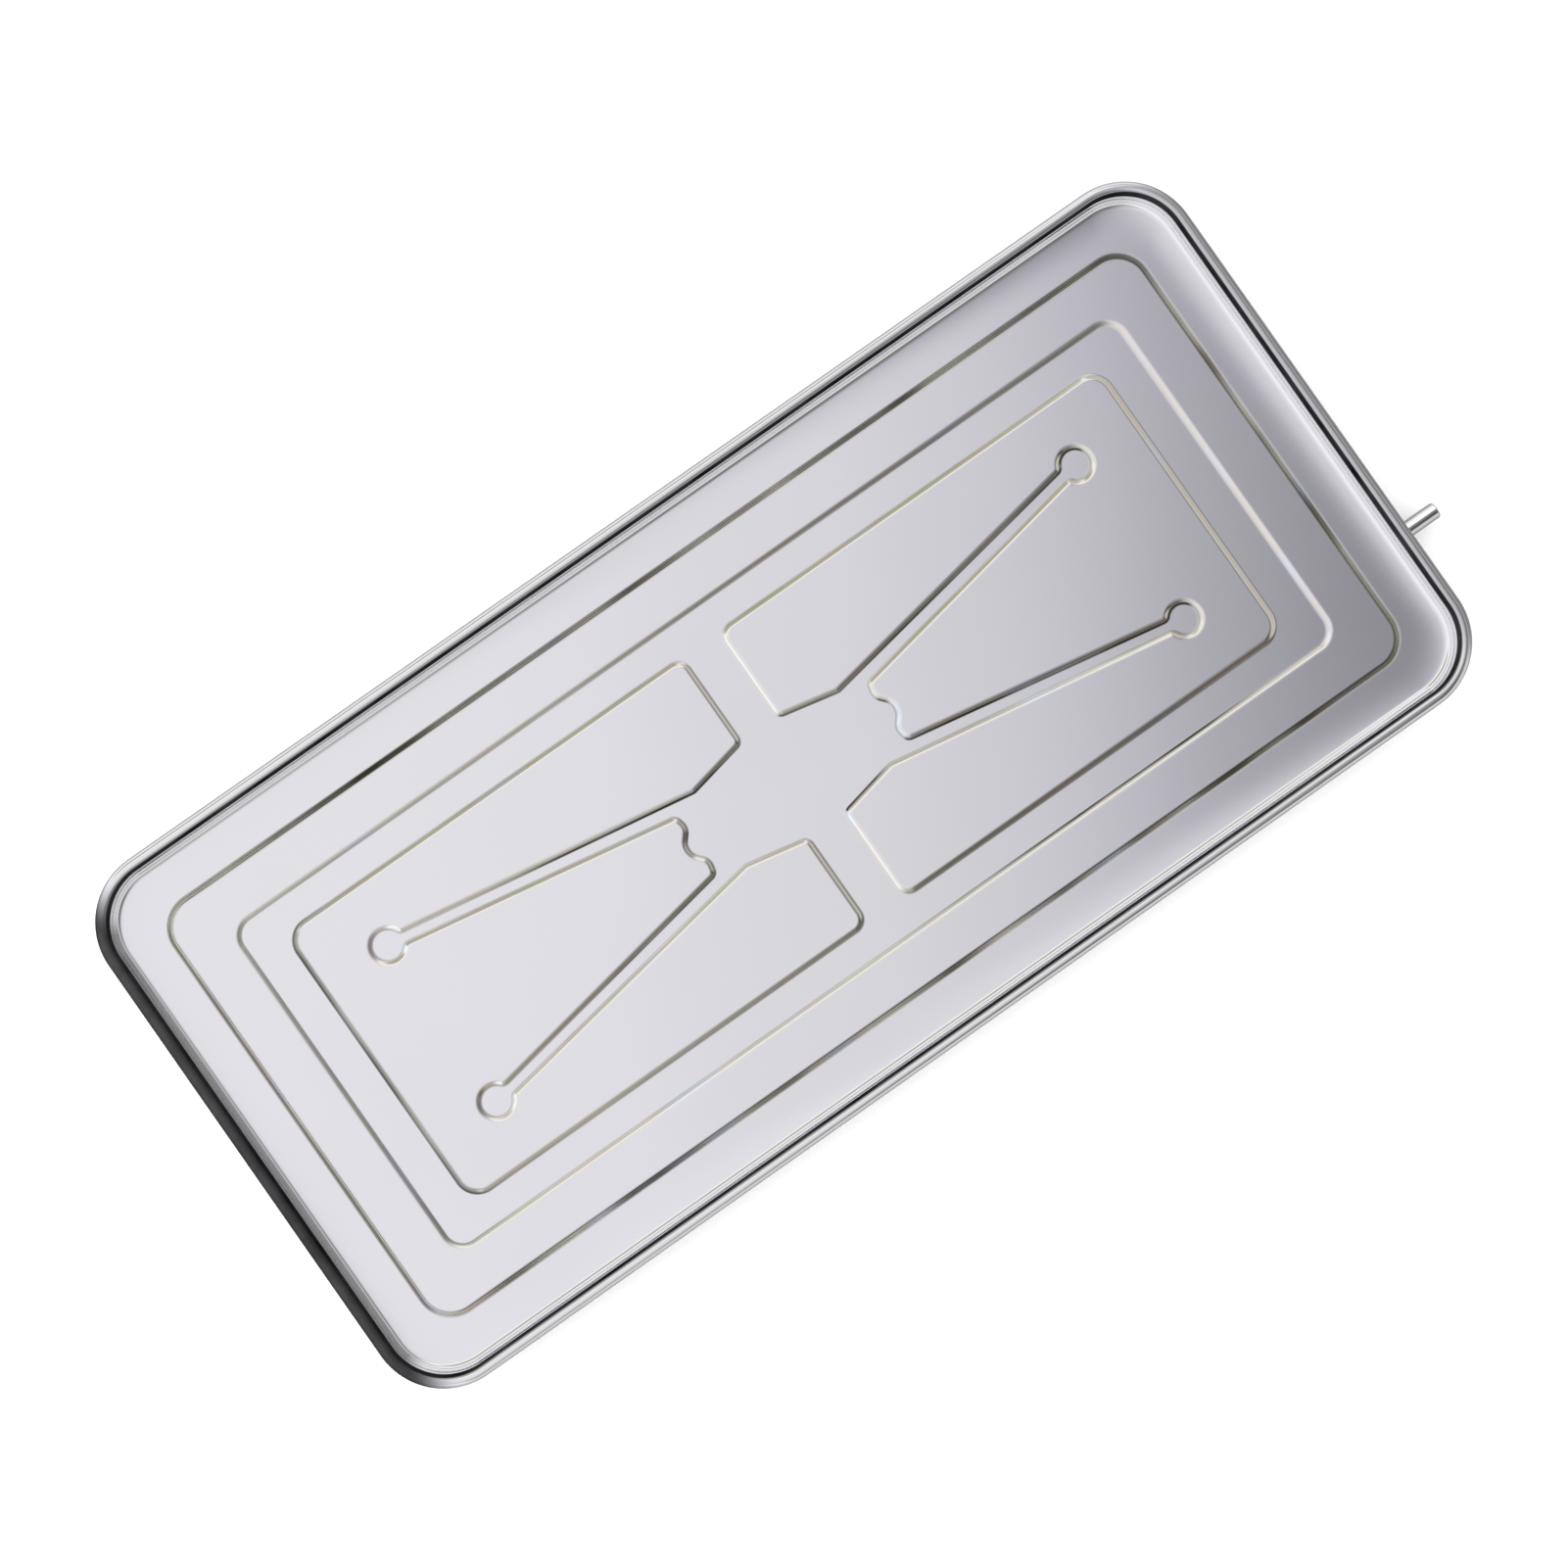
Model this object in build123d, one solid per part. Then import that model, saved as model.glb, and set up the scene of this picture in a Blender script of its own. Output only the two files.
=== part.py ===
from build123d import *
import math
import os

# A sheet-metal tray with a wired rim, four screwed-on rubber feet and a spatula that
# slides along X in two guides under the deck. Millimetres.
# X runs along the tray's long side, Y across it (front is -Y, left is -X), +Z up.
# The origin is the centre of the deck, on its lower (recessed) top level.

os.makedirs("parts", exist_ok=True)

CUT = 1.0                    # how far cutting tools run past a face
HOLE_CLEARANCE = 0.1         # radial, round studs and their flanges
THREAD_CLEARANCE = 0.02      # radial, nut on stud

# Rim
TRAY_LENGTH = 300.0          # over the rolled rim
TRAY_WIDTH = 142.6           # over the rolled rim
SHEET = 0.6                  # sheet thickness
BEAD_R = 1.5                 # outer radius of the rolled rim
BEAD_Z = 8.3                 # height of the bead's centre line above the deck
CURL_ANGLE = 300             # degrees of tube wall in the rolled rim
WIRE_R = 0.88                # wire inside the rolled rim
# Outlines seen from above: half length, half width, corner radius.
RIM = (TRAY_LENGTH / 2, TRAY_WIDTH / 2, 17.4)
OUTLINE_1 = (135.9, 57.0, 7.6)     # outer edge of the ledge
OUTLINE_2 = (123.8, 45.4, 5.0)     # inner edge of the ledge
OUTLINE_3 = (113.8, 37.1, 5.0)     # outer outline of the plateaus
RAMP_1 = 0.7                 # half width of the ramp at outline 1
RAMP_2 = 0.6                 # half width of the ramp at outline 2
RAMP_3 = 0.5                 # half width of the ramps round the plateaus

# Levels and wall
LEDGE_Z = 0.5                # top of the ledge between outlines 1 and 2
GROOVE_Z = 0.42              # bottom of the coined line along outline 1
GROOVE_INSET = 0.05          # coined line inside outline 1
BORDER_Z = 1.0               # border just outside outline 1
BORDER_POWER = 3.1           # the border curves up with this power of the distance
BORDER_STEPS = (0.4, 0.65, 0.85, 1.0)    # shares of the border's width
BORDER_END_SLOPE = 0.19      # slope of the border where it meets the wall's fillet
WALL_FILLET_R = 2.4          # inner fillet between border and wall
WALL_FILLET_STEPS = 5
WALL_ANGLE = 88.0            # wall, degrees from level
LEDGE_UNDER = LEDGE_Z - SHEET
DECK_UNDER = -SHEET

# Plateaus: a recessed cross with four arms lies between and in them.
PLATEAU_Z = 0.5              # top of the raised plateaus
HOLLOW_INSET = 0.25          # hollow underneath, inside the plateau's outline
GAP_X = 5.45                 # half width of the gap between the plateaus
GAP_CORNER_R = 3.0
CHAMFER_IN_Y, CHAMFER_IN_R = 13.7, 1.6             # inner chamfer, corner on the gap
CHAMFER_OUT, CHAMFER_OUT_R = (20.3, 10.6), 2.0     # inner chamfer, second corner
ARM_OUTER_SLOPE = 0.170      # the arms' outer edges, from CHAMFER_OUT
ARM_INNER_SLOPE = 0.180      # the arms' inner edges, from TONGUE
TONGUE, TONGUE_R = (27.2, 7.75), 1.6   # corner of the tongue between two arms
LOBE, LOBE_R = (26.5, 4.6), 2.6        # lobe of the tongue's wavy tip
NOTCH_X, NOTCH_R = 30.4, 4.0           # notch in the middle of the wavy tip
ARM_END = (96.6, 21.8)       # centre of the round end of an arm
ARM_END_R = 4.1
ARM_END_FILLET_R = 1.5       # where an arm's edges meet its round end
CENTRE_SHIFT = 2.1           # the cross sits this far towards +X, less further out
# How far corners move (and one radius grows) per unit of outward edge growth.
CHAMFER_IN_SHARE, CHAMFER_OUT_SHARE = 1.1, 0.6
TONGUE_SHARE, TONGUE_R_SHARE = 0.75, 0.5

# Feet
FOOT_X = 118.0
FOOT_Y = (OUTLINE_1[1] + OUTLINE_2[1]) / 2     # middle of the ledge
FOOT_H = 7.8
FOOT_R_TOP, FOOT_R_BOTTOM = 5.0, 5.75
FOOT_NECK_H = 0.9            # depth at which the foot starts to widen
FOOT_FLARE_H = 2.6           # depth at which it has its full radius
FOOT_CHAMFER = 0.6
FOOT_POCKET_R = 3.75
FOOT_WEB = 3.0               # rubber between ledge and pocket
STUD_R, STUD_FLANGE_R, STUD_FLANGE_H, STUD_L = 1.5, 2.1, 0.6, 6.2
STUD_CHAMFER = 0.3
FOOT_BORE_R = STUD_R + HOLE_CLEARANCE
WASHER_R, WASHER_H = 3.5, 0.5
NUT_AF, NUT_H = 5.5, 2.4     # across flats, height
NUT_CHAMFER = 0.35
NUT_CONE_SCALE = 1.12        # radius of the chamfered envelope over half of NUT_AF
WEB_Z = LEDGE_UNDER - FOOT_WEB

# Spatula
ROD_R = 2.0
ROD_Y, ROD_Z = -34.6, -3.0
ROD_TIP_X = 160.1
ROD_INNER_X = 6.9
ROD_SLOT_L = 12.0
ROD_TIP_CHAMFER, ROD_INNER_CHAMFER = 0.35, 0.25
BLADE_T, BLADE_W, BLADE_TIP_X = 1.0, 12.0, -39.4
BLADE_SHOULDER_X = ROD_INNER_X - 1.0     # full width up to here
BLADE_NECK_X = ROD_INNER_X + 7.0         # tapered down to the tang here
TANG_HALF_W = 1.8
PIN_R = 0.6
PIN_XS = (10.2, 15.2)

# Guides
GUIDE_X, GUIDE_L = 130.0, 8.0            # handle guide
BLADE_GUIDE_X, BLADE_GUIDE_L = 2.0, 8.6  # under the gap between the plateaus
GUIDE_HALF_W = 6.85
GUIDE_FLANGE_W = 11.5        # half width over the flange
GUIDE_FLANGE_T = 2.0
GUIDE_BOTTOM_Z = -5.9
GUIDE_FILLET_R = 1.0
BORE_CLEARANCE = 0.05        # radial, rod in handle guide
SLOT_W, SLOT_H = 12.5, 1.2   # opening that the blade passes through
GSTUD_R, GSTUD_FLANGE_R, GSTUD_FLANGE_H = 1.0, 1.5, 0.4
GSTUD_OFF = 9.2              # guide studs either side of the rod
GSTUD_END = 0.6              # stud below its nut
GSTUD_CHAMFER = 0.2
GNUT_AF, GNUT_H = 4.0, 1.6

# Retaining spring
SPRING_T = 0.4
SPRING_TONGUE_W = 4.0
SPRING_FLAT_L = 1.4          # level start of the tongue
SPRING_CONTACT = (140.2, 141.6)          # X range of the level part over the rod
SPRING_TIP_X, SPRING_TIP_RISE = 143.4, 0.7
SPRING_GAP = 0.03            # between tongue and rod
HANDLE_GUIDE_TOP = LEDGE_UNDER - SPRING_T


# ---------------------------------------------------------------------------
# Helpers
# ---------------------------------------------------------------------------
def write(shape, name):
    export_step(shape, f"parts/{name}.step")


def grown(outline, distance):
    """Half length, half width and corner radius, moved outwards by distance."""
    return tuple(v + distance for v in outline)


def stack(stations):
    """Solid through rounded rectangles, straight between them."""
    wires = [
        (Plane.XY.offset(z) * RectangleRounded(2 * half_x, 2 * half_y, r)).faces()[0].outer_wire()
        for half_x, half_y, r, z in stations
    ]
    return Solid.make_loft(wires, ruled=True)


def box(x0, x1, y0, y1, z0, z1):
    centre = Pos((x0 + x1) / 2, (y0 + y1) / 2, (z0 + z1) / 2)
    return centre * Box(x1 - x0, y1 - y0, z1 - z0)


def cyl(x, y, r, z0, z1):
    return Pos(x, y, (z0 + z1) / 2) * Cylinder(r, z1 - z0)


def weld_stud(x, y, r, flange_r, flange_h, z_end, z_weld, end_chamfer):
    """Stud hanging from its flange, which is welded on at z_weld."""
    stud = cyl(x, y, r, z_end, z_weld)
    stud += cyl(x, y, flange_r, z_weld - flange_h, z_weld)
    return chamfer(stud.edges().group_by(Axis.Z)[0], end_chamfer)


def hex_nut(x, y, across_flats, height, stud_r, z_top):
    z_bottom = z_top - height
    face = RegularPolygon(across_flats / 2, 6, major_radius=False)
    body = extrude(Pos(x, y, z_bottom) * face, amount=height)
    return body - cyl(x, y, stud_r + THREAD_CLEARANCE, z_bottom - CUT, z_top + CUT)


def offset_profile(points, distance):
    """Parallel copy of a polyline in the X-Z plane, on its outer, lower side."""
    normals = []
    for (x0, z0), (x1, z1) in zip(points, points[1:]):
        length = math.hypot(x1 - x0, z1 - z0)
        normals.append(((z1 - z0) / length, -(x1 - x0) / length))
    normals = [normals[0]] + normals + [normals[-1]]
    copy = []
    for (x, z), a, b in zip(points, normals, normals[1:]):
        mitre = distance / (1 + a[0] * b[0] + a[1] * b[1])
        copy.append((x + mitre * (a[0] + b[0]), z + mitre * (a[1] + b[1])))
    return copy


# ---------------------------------------------------------------------------
# Tray pan
# ---------------------------------------------------------------------------
WALL = grown(RIM, -2 * BEAD_R)       # inner face of the wall


def top_stations():
    """Top surface without the coined line: (half length, half width, radius, z)."""
    start_angle, end_angle = math.atan(BORDER_END_SLOPE), math.radians(WALL_ANGLE)
    fillet_dx = WALL_FILLET_R * (math.sin(end_angle) - math.sin(start_angle))
    fillet_dz = WALL_FILLET_R * (math.cos(start_angle) - math.cos(end_angle))
    border_start = grown(OUTLINE_1, RAMP_1)
    rise = BORDER_END_SLOPE * (WALL[0] - fillet_dx - border_start[0]) / BORDER_POWER
    lean = (BEAD_Z - BORDER_Z - rise - fillet_dz) / math.tan(end_angle)
    border_end = grown(WALL, -fillet_dx - lean)

    stations = [
        (*grown(OUTLINE_2, -RAMP_2), 0.0),
        (*grown(OUTLINE_2, RAMP_2), LEDGE_Z),
        (*grown(OUTLINE_1, -RAMP_1), LEDGE_Z),
        (*border_start, BORDER_Z),
    ]
    for share in BORDER_STEPS:
        outline = tuple(a + share * (b - a) for a, b in zip(border_start, border_end))
        stations.append((*outline, BORDER_Z + rise * share**BORDER_POWER))
    for k in range(1, WALL_FILLET_STEPS + 1):
        angle = start_angle + (end_angle - start_angle) * k / WALL_FILLET_STEPS
        dx = WALL_FILLET_R * (math.sin(angle) - math.sin(start_angle))
        dz = WALL_FILLET_R * (math.cos(start_angle) - math.cos(angle))
        stations.append((*grown(border_end, dx), BORDER_Z + rise + dz))
    stations.append((*WALL, BEAD_Z))
    return stations


def sheet_pan():
    """Deck, ledge, border and wall, without plateaus and rolled rim."""
    top = top_stations()
    # The deck's centre leads the profile, so that the first station is mitred too.
    profile = [(0.0, 0.0)] + [(s[0], s[3]) for s in top]
    under = [
        (*grown(s[:3], x - s[0]), z)
        for s, (x, z) in zip(top, offset_profile(profile, SHEET)[1:])
    ]
    under[-1] = (*grown(WALL, SHEET), BEAD_Z)
    top.insert(3, (*grown(OUTLINE_1, -GROOVE_INSET), GROOVE_Z))

    inner_low = stack(top[:2])
    inner_high = stack(top[2:] + [(*WALL, BEAD_Z + CUT)])
    outer_low = stack(under[:2])
    outer_high = stack(under[2:])
    return (outer_low + outer_high) - (inner_low + inner_high)


def round_corners(shape, corners):
    """Fillet, one after another, the vertex nearest to each (x, y, radius)."""
    for x, y, r in corners:
        vertex = min(shape.vertices(), key=lambda p: math.hypot(p.X - x, p.Y - y))
        shape = fillet([vertex], r)
    return shape


def plateau_outline(grow, shift):
    """Right-hand plateau, its edge moved outwards by grow. Its inner end is moved
    by shift along X, less and less towards its outer end."""
    scale = 1 - shift / OUTLINE_3[0]

    def shifted(x):
        return x * scale + shift

    end_x, side_y, corner_r = grown(OUTLINE_3, grow)
    gap_x = shifted(GAP_X) - grow
    gap_y = CHAMFER_IN_Y - grow * CHAMFER_IN_SHARE
    arm_x = shifted(ARM_END[0])
    arm_r = ARM_END_R - grow
    lobe_x, notch_x = shifted(LOBE[0]) - grow, shifted(NOTCH_X) - grow
    outer_slope, inner_slope = ARM_OUTER_SLOPE / scale, ARM_INNER_SLOPE / scale
    outer_start, inner_start = shifted(CHAMFER_OUT[0]), shifted(TONGUE[0])

    def outer_edge(x):
        return CHAMFER_OUT[1] + outer_slope * (x - outer_start) - grow * math.hypot(1, outer_slope)

    def inner_edge(x):
        return TONGUE[1] + inner_slope * (x - inner_start) + grow * math.hypot(1, inner_slope)

    mouth_x = outer_start - CHAMFER_OUT_SHARE * grow
    mouth_y = outer_edge(mouth_x)
    tongue_x = inner_start - grow * TONGUE_SHARE
    tongue_y = inner_edge(tongue_x)
    cut_x = mouth_x - CUT

    face = make_face(
        Polyline(
            (gap_x, side_y), (end_x, side_y), (end_x, -side_y), (gap_x, -side_y),
            (gap_x, -gap_y), (mouth_x, -mouth_y), (mouth_x, mouth_y), (gap_x, gap_y),
            close=True,
        )
    )
    for s in (1, -1):
        # The arm's first and last points lie past the mouth, to cut it cleanly.
        face -= make_face(
            Polyline(
                (cut_x, s * (mouth_y + 0.05)), (mouth_x, s * mouth_y),
                (arm_x, s * outer_edge(arm_x)), (arm_x, s * inner_edge(arm_x)),
                (tongue_x, s * tongue_y), (cut_x, s * (tongue_y - 0.5)),
                close=True,
            )
        )
        face -= Pos(arm_x, s * ARM_END[1]) * Circle(arm_r)
    # Space between the mouth and the wavy tip of the tongue.
    face -= make_face(
        Polyline(
            (cut_x, -tongue_y), (tongue_x, -tongue_y), (lobe_x, -LOBE[1]), (notch_x, 0),
            (lobe_x, LOBE[1]), (tongue_x, tongue_y), (cut_x, tongue_y),
            close=True,
        )
    )

    corners = []
    for s in (1, -1):
        corners += [
            (end_x, s * side_y, corner_r),
            (gap_x, s * side_y, GAP_CORNER_R + grow),
            (gap_x, s * gap_y, CHAMFER_IN_R + grow),
            (mouth_x, s * mouth_y, CHAMFER_OUT_R),
            (tongue_x, s * tongue_y, TONGUE_R + grow * TONGUE_R_SHARE),
            (lobe_x, s * LOBE[1], LOBE_R),
        ]
        for edge in (outer_edge, inner_edge):
            # Roughly where the arm's edge runs into its round end.
            rise = edge(arm_x - arm_r) - ARM_END[1]
            x = arm_x - math.sqrt(max(arm_r**2 - rise**2, 0))
            corners.append((x, s * edge(x), ARM_END_FILLET_R + grow))
    corners.append((notch_x, 0, NOTCH_R))
    return round_corners(face, corners)


def plateau(grow, z0, z1, shift, sink=0.0):
    """Solid plateau from z0 up to z1, its sides leaning inwards by 2 * RAMP_3,
    carried straight down by sink."""
    low, high = plateau_outline(grow, shift), plateau_outline(grow - 2 * RAMP_3, shift)
    wires = [
        (Plane.XY.offset(z) * face).faces()[0].outer_wire()
        for z, face in ((z0, low), (z1, high))
    ]
    body = Solid.make_loft(wires, ruled=True)
    if sink:
        body = body + extrude(Plane.XY.offset(z0 - sink) * low, amount=sink)
    return body


def ring(profile_at):
    """Profile carried round the rim. profile_at(plane) gives the face on a plane
    whose local X points outwards and local Y up."""
    line_x, line_y, r = grown(RIM, -BEAD_R)
    turn_x, turn_y = line_x - r, line_y - r      # centres of the corners
    pieces = []
    for s in (1, -1):
        end = Plane(origin=(s * line_x, -s * turn_y, BEAD_Z), x_dir=(s, 0, 0), z_dir=(0, -s, 0))
        pieces.append(extrude(profile_at(end), amount=2 * turn_y, dir=(0, s, 0)))
        side = Plane(origin=(s * turn_x, s * line_y, BEAD_Z), x_dir=(0, s, 0), z_dir=(s, 0, 0))
        pieces.append(extrude(profile_at(side), amount=2 * turn_x, dir=(-s, 0, 0)))
        for t in (1, -1):
            corner = Plane(
                origin=(s * line_x, t * turn_y, BEAD_Z), x_dir=(s, 0, 0), z_dir=(0, -s, 0)
            )
            axis = Axis((s * turn_x, t * turn_y, 0), (0, 0, s * t))
            pieces.append(revolve(profile_at(corner), axis=axis, revolution_arc=90))
    whole = pieces[0]
    for piece in pieces[1:]:
        whole += piece
    return whole


def curl(plane):
    """Section of the rolled rim: part of a tube wall, starting at the tray's wall."""
    def at(r, turn):
        angle = math.radians(180 - turn)
        return (r * math.cos(angle), r * math.sin(angle))

    bore_r = BEAD_R - SHEET
    outer_end, inner_end = at(BEAD_R, CURL_ANGLE), at(bore_r, CURL_ANGLE)
    line = (
        ThreePointArc((-BEAD_R, 0), at(BEAD_R, CURL_ANGLE / 2), outer_end)
        + Line(outer_end, inner_end)
        + ThreePointArc(inner_end, at(bore_r, CURL_ANGLE / 2), (-bore_r, 0))
        + Line((-bore_r, 0), (-BEAD_R, 0))
    )
    return plane * make_face(line)


def tray_pan():
    pan = sheet_pan()
    for shift in (CENTRE_SHIFT, -CENTRE_SHIFT):
        raised = plateau(RAMP_3, 0.0, PLATEAU_Z, shift)
        hollow = plateau(
            RAMP_3 - HOLLOW_INSET, DECK_UNDER, PLATEAU_Z - SHEET, shift, sink=CUT
        )
        if shift < 0:      # left-hand plateau
            raised, hollow = mirror(raised, Plane.YZ), mirror(hollow, Plane.YZ)
        pan = pan + raised - hollow
    return pan + ring(curl)


write(tray_pan(), "tray_pan")
write(ring(lambda plane: plane * Circle(WIRE_R)), "rim_wire")


# ---------------------------------------------------------------------------
# Feet: rubber foot, weld stud, washer and nut near each corner of the ledge
# ---------------------------------------------------------------------------
def rubber_foot(x, y):
    bottom = LEDGE_UNDER - FOOT_H
    profile = make_face(
        Polyline(
            (0, LEDGE_UNDER),
            (FOOT_R_TOP, LEDGE_UNDER),
            (FOOT_R_TOP, LEDGE_UNDER - FOOT_NECK_H),
            (FOOT_R_BOTTOM, LEDGE_UNDER - FOOT_FLARE_H),
            (FOOT_R_BOTTOM, bottom + FOOT_CHAMFER),
            (FOOT_R_BOTTOM - FOOT_CHAMFER, bottom),
            (0, bottom),
            close=True,
        )
    )
    foot = Pos(x, y, 0) * revolve(Plane.XZ * profile, axis=Axis.Z)
    top = LEDGE_UNDER + CUT
    foot -= cyl(x, y, FOOT_BORE_R, bottom - CUT, top)
    seat_z = LEDGE_UNDER - STUD_FLANGE_H - HOLE_CLEARANCE
    foot -= cyl(x, y, STUD_FLANGE_R + HOLE_CLEARANCE, seat_z, top)
    return foot - cyl(x, y, FOOT_POCKET_R, bottom - CUT, WEB_Z)


def foot_stud(x, y):
    return weld_stud(
        x, y, STUD_R, STUD_FLANGE_R, STUD_FLANGE_H,
        z_end=LEDGE_UNDER - STUD_L, z_weld=LEDGE_UNDER, end_chamfer=STUD_CHAMFER,
    )


def foot_washer(x, y):
    z = WEB_Z - WASHER_H
    return cyl(x, y, WASHER_R, z, WEB_Z) - cyl(x, y, FOOT_BORE_R, z - CUT, WEB_Z + CUT)


def foot_nut(x, y):
    """Nut whose corners are taken off by a chamfered cylinder."""
    z_top = WEB_Z - WASHER_H
    nut = hex_nut(x, y, NUT_AF, NUT_H, STUD_R, z_top)
    cone = Pos(x, y, z_top - NUT_H / 2) * Cylinder(NUT_AF / 2 * NUT_CONE_SCALE, NUT_H)
    return nut & chamfer(cone.edges(), NUT_CHAMFER)


for row, y in (("front", -FOOT_Y), ("rear", FOOT_Y)):
    for column, x in (("left", -FOOT_X), ("right", FOOT_X)):
        place = f"{row}_{column}"
        write(rubber_foot(x, y), f"foot_{place}")
        write(foot_stud(x, y), f"foot_stud_{place}")
        write(foot_washer(x, y), f"foot_washer_{place}")
        write(foot_nut(x, y), f"foot_nut_{place}")


# ---------------------------------------------------------------------------
# Spatula: slotted rod, flat blade and two pins
# ---------------------------------------------------------------------------
def plain_rod():
    centre = Pos((ROD_TIP_X + ROD_INNER_X) / 2, ROD_Y, ROD_Z)
    return centre * (Rotation(0, 90, 0) * Cylinder(ROD_R, ROD_TIP_X - ROD_INNER_X))


def pin_cylinder(x):
    reach = ROD_R + CUT
    return cyl(x, ROD_Y, PIN_R, ROD_Z - reach, ROD_Z + reach)


def spatula_handle():
    rod = chamfer(plain_rod().edges().group_by(Axis.X)[-1], ROD_TIP_CHAMFER)
    rod = chamfer(rod.edges().group_by(Axis.X)[0], ROD_INNER_CHAMFER)
    reach = ROD_R + CUT
    rod -= box(
        ROD_INNER_X - CUT, ROD_INNER_X + ROD_SLOT_L, ROD_Y - reach, ROD_Y + reach,
        ROD_Z - BLADE_T / 2, ROD_Z + BLADE_T / 2,
    )
    for x in PIN_XS:
        rod -= pin_cylinder(x)
    return rod


def spatula_blade():
    """Blade with a round tip at -X and a tang that fills the rod's slot."""
    half_w = BLADE_W / 2
    round_x = BLADE_TIP_X + half_w
    edge = [
        (round_x, half_w),
        (BLADE_SHOULDER_X, half_w),
        (BLADE_NECK_X, TANG_HALF_W),
        (ROD_INNER_X + ROD_SLOT_L, TANG_HALF_W),
    ]
    points = edge + [(x, -y) for x, y in reversed(edge)]
    outline = ThreePointArc(points[-1], (BLADE_TIP_X, 0), points[0])
    for start, end in zip(points, points[1:]):
        outline += Line(start, end)
    blade = extrude(Pos(0, ROD_Y, ROD_Z - BLADE_T / 2) * make_face(outline), amount=BLADE_T)
    for x in PIN_XS:
        blade -= pin_cylinder(x)
    return blade


write(spatula_handle(), "spatula_handle")
write(spatula_blade(), "spatula_blade")
write(Compound(children=[pin_cylinder(x) & plain_rod() for x in PIN_XS]), "blade_pins")


# ---------------------------------------------------------------------------
# Guides under the deck, their studs and nuts, and the retaining spring
# ---------------------------------------------------------------------------
GSTUD_YS = (ROD_Y + GSTUD_OFF, ROD_Y - GSTUD_OFF)


def guide(x, length, z_top, bored, flange_seats):
    """Flanged block with a blade slot, optionally a bore for the rod and
    seats for the stud flanges in its top."""
    x0, x1 = x - length / 2, x + length / 2
    body = box(x0, x1, ROD_Y - GUIDE_HALF_W, ROD_Y + GUIDE_HALF_W, GUIDE_BOTTOM_Z, z_top)
    body += box(
        x0, x1, ROD_Y - GUIDE_FLANGE_W, ROD_Y + GUIDE_FLANGE_W, z_top - GUIDE_FLANGE_T, z_top
    )
    body = fillet(body.edges().filter_by(Axis.X).group_by(Axis.Z)[0], GUIDE_FILLET_R)
    body -= box(
        x0 - CUT, x1 + CUT, ROD_Y - SLOT_W / 2, ROD_Y + SLOT_W / 2,
        ROD_Z - SLOT_H / 2, ROD_Z + SLOT_H / 2,
    )
    if bored:
        bore = Cylinder(ROD_R + BORE_CLEARANCE, length + 2 * CUT)
        body -= Pos(x, ROD_Y, ROD_Z) * (Rotation(0, 90, 0) * bore)
    for y in GSTUD_YS:
        hole = cyl(x, y, GSTUD_R + HOLE_CLEARANCE, z_top - 2 * GUIDE_FLANGE_T, z_top + CUT)
        if flange_seats:
            seat_z = z_top - GSTUD_FLANGE_H - HOLE_CLEARANCE
            hole += cyl(x, y, GSTUD_FLANGE_R + HOLE_CLEARANCE, seat_z, z_top + CUT)
        body -= hole
    return body


def retaining_spring():
    """Leaf clamped above the handle guide; its tongue reaches out over the rod."""
    x0, x1 = GUIDE_X - GUIDE_L / 2, GUIDE_X + GUIDE_L / 2
    spring = box(
        x0, x1, ROD_Y - GUIDE_FLANGE_W, ROD_Y + GUIDE_FLANGE_W, HANDLE_GUIDE_TOP, LEDGE_UNDER
    )
    touch_z = ROD_Z + ROD_R + SPRING_GAP
    lower = [
        (x1, HANDLE_GUIDE_TOP),
        (x1 + SPRING_FLAT_L, HANDLE_GUIDE_TOP),
        (SPRING_CONTACT[0], touch_z),
        (SPRING_CONTACT[1], touch_z),
        (SPRING_TIP_X, touch_z + SPRING_TIP_RISE),
    ]
    upper = [(x, z + SPRING_T) for x, z in lower]
    profile = make_face(Polyline(*upper, *reversed(lower), close=True))
    rear = Plane(
        origin=(0, ROD_Y + SPRING_TONGUE_W / 2, 0), x_dir=(1, 0, 0), z_dir=(0, -1, 0)
    )
    spring = spring + extrude(rear * profile, amount=SPRING_TONGUE_W)
    for y in GSTUD_YS:
        spring -= cyl(
            GUIDE_X, y, GSTUD_FLANGE_R + HOLE_CLEARANCE, HANDLE_GUIDE_TOP - CUT, LEDGE_UNDER + CUT
        )
    return spring


studs, nuts = [], []
for x, z_weld, z_top in (
    (GUIDE_X, LEDGE_UNDER, HANDLE_GUIDE_TOP),
    (BLADE_GUIDE_X, DECK_UNDER, DECK_UNDER),
):
    z_nut = z_top - GUIDE_FLANGE_T
    for y in GSTUD_YS:
        studs.append(weld_stud(
            x, y, GSTUD_R, GSTUD_FLANGE_R, GSTUD_FLANGE_H,
            z_end=z_nut - GNUT_H - GSTUD_END, z_weld=z_weld, end_chamfer=GSTUD_CHAMFER,
        ))
        nuts.append(hex_nut(x, y, GNUT_AF, GNUT_H, GSTUD_R, z_nut))

write(
    guide(GUIDE_X, GUIDE_L, HANDLE_GUIDE_TOP, bored=True, flange_seats=False),
    "handle_guide",
)
write(
    guide(BLADE_GUIDE_X, BLADE_GUIDE_L, DECK_UNDER, bored=False, flange_seats=True),
    "blade_guide",
)
write(Compound(children=studs), "guide_studs")
write(Compound(children=nuts), "guide_nuts")
write(retaining_spring(), "retaining_spring")
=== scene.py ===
# A shallow stainless tray with a spatula, guides, a spring and feet. It stands centred on
# Z, long side along X, short side along Y. The pan is rebuilt as thin sheet with a rolled
# rim, three pressed lines and a low cross between two raised plateaus. The other CAD pieces
# stay and only get materials. Sizes of the pan are in millimetres, everything else in metres.
import math

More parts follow.
